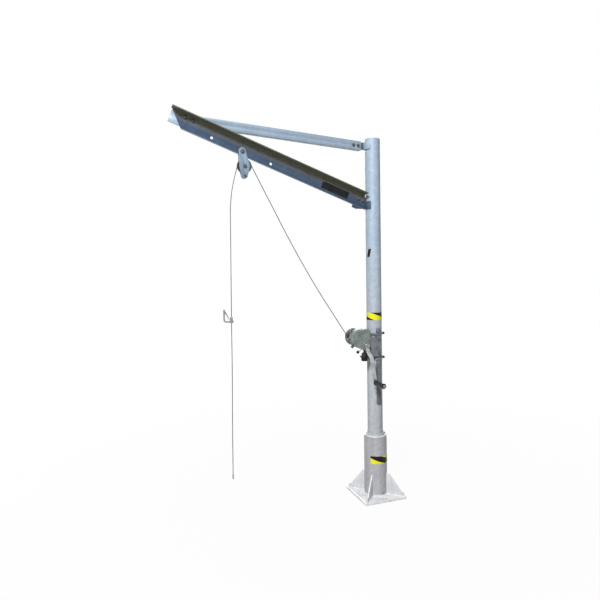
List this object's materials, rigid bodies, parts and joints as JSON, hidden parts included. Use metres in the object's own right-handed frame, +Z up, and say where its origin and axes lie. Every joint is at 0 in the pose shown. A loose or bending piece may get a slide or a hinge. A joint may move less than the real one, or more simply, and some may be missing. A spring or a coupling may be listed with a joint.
{
  "type": "davit crane",
  "caption": "Davit crane: a mast turning in a bolted foot socket, a rising jib held by a tie bar, a pulley block and a hand winch with wire rope and hook.",
  "frame": {"origin": "on the mast axis at the underside of the base plate", "axes": "+Z up along the mast, -X along the jib at rest, -Y towards the crank"},
  "size_m": [1.5066, 0.3966, 2.5076],
  "materials": {
    "galvanised": "hot-dip galvanised, dull spangle",
    "foot_galvanised": "bright galvanised",
    "jib_galvanised": "dark weathered galvanised",
    "bracket_steel": "dark satin",
    "bush_nylon": "moulded",
    "zinc_fasteners": "bright zinc",
    "bar_black_steel": "satin black",
    "black_plastic": "moulded",
    "winch_plate": "silver grey zinc",
    "machined_steel": "oiled, machined",
    "brake_lining": "friction lining",
    "bronze": "sintered bronze",
    "sheave_iron": "machined groove",
    "wire_rope": "stranded wire",
    "hook_steel": "zinc plated",
    "crank_zinc": "bright zinc"
  },
  "bodies": {
    "base": {"base_plate": "foot_galvanised", "gussets": "foot_galvanised", "socket_tube": "foot_galvanised", "lower_bush": "bush_nylon", "upper_bush": "bush_nylon", "thrust_pad": "bush_nylon"},
    "mast": {"mast_tube": "galvanised", "mast_cap": "galvanised", "thrust_collar": "galvanised", "collar_screw": "zinc_fasteners", "jib_beam": "jib_galvanised", "tie_bar": "galvanised", "tip_cleat": "galvanised", "jib_bracket": "bracket_steel", "tie_bracket": "bracket_steel", "frame_bolts": "zinc_fasteners", "frame_nuts": "zinc_fasteners", "near_cheek": "galvanised", "far_cheek": "galvanised", "hanger_bolt": "zinc_fasteners", "hanger_spacers": "zinc_fasteners", "sheave_pin": "zinc_fasteners", "guard_pin": "zinc_fasteners", "guard_spacer": "zinc_fasteners", "rope_lead": "wire_rope", "rope_fall": "wire_rope", "mounting_bar": "bar_black_steel", "winch_bracket": "bar_black_steel", "mount_bolts": "zinc_fasteners", "mast_bands": "bar_black_steel", "band_screws": "black_plastic", "winch_frame": "winch_plate", "winch_bushes": "bronze", "gear_cover": "winch_plate", "cover_screws": "zinc_fasteners"},
    "sheave": {"sheave": "sheave_iron", "sheave_bush": "bronze"},
    "drum": {"drum_shaft": "machined_steel", "rope_drum": "winch_plate", "drum_gear": "machined_steel", "rope_wound": "wire_rope"},
    "crank": {"pinion_shaft": "machined_steel", "ratchet_wheel": "machined_steel", "brake_discs": "brake_lining", "crank_arm": "crank_zinc", "crank_nut": "zinc_fasteners", "grip_pin": "zinc_fasteners"},
    "grip": {"crank_grip": "black_plastic"},
    "pawl": {"pawl": "machined_steel", "pawl_lever": "machined_steel", "pawl_ball": "black_plastic"},
    "freewheel": {"freewheel_knob": "black_plastic"},
    "hook": {"hook_sleeve": "hook_steel", "hook": "hook_steel", "latch_pin": "zinc_fasteners", "rope_tail": "wire_rope", "rope_end_sleeve": "hook_steel"},
    "latch": {"latch": "hook_steel"}
  },
  "joints": [
    {"name": "mast_swivel", "type": "hinge", "parent": "base", "child": "mast", "pos_m": [0, 0, 0], "axis": [0, 0, 1], "continuous": true},
    {"name": "drum_turn", "type": "hinge", "parent": "mast", "child": "drum", "pos_m": [-0.143, 0, 1.066], "axis": [0, -1, 0], "range_deg": [0, 1023.14]},
    {"name": "crank_turn", "type": "hinge", "parent": "mast", "child": "crank", "pos_m": [-0.09633, 0, 1.01933], "axis": [0, -1, 0], "range_deg": [-4606, 0]},
    {"name": "sheave_turn", "type": "hinge", "parent": "mast", "child": "sheave", "pos_m": [-0.89224, 0, 2.17483], "axis": [0, 1, 0], "range_deg": [0, 1024]},
    {"name": "hoist", "type": "slide", "parent": "mast", "child": "hook", "axis": [0, 0, 1], "range_m": [0, 0.751], "deforming": ["rope_fall"]},
    {"name": "grip_spin", "type": "hinge", "parent": "crank", "child": "grip", "pos_m": [-0.06044, -0.18, 0.78203], "axis": [0, 1, 0], "continuous": true},
    {"name": "pawl_lift", "type": "hinge", "parent": "mast", "child": "pawl", "pos_m": [-0.12205, -0.06, 1.00388], "axis": [0, 1, 0], "range_deg": [0, 12], "stiffness_Nm_per_rad": 0.2, "springref_deg": -28.65},
    {"name": "freewheel_turn", "type": "hinge", "parent": "mast", "child": "freewheel", "pos_m": [-0.104, -0.056, 0.96], "axis": [0, 0, 1], "range_deg": [0, 90]},
    {"name": "latch_open", "type": "hinge", "parent": "hook", "child": "latch", "pos_m": [-1.029, 0, 1.284], "axis": [0, 1, 0], "range_deg": [0, 15], "stiffness_Nm_per_rad": 0.03, "springref_deg": -34.38}
  ],
  "couplings": [
    {"joint": "crank_turn", "follows": "drum_turn", "ratio": -4.5},
    {"joint": "sheave_turn", "follows": "drum_turn", "ratio": 1},
    {"joint": "hoist", "follows": "drum_turn", "m_per_rad": 0.042}
  ]
}
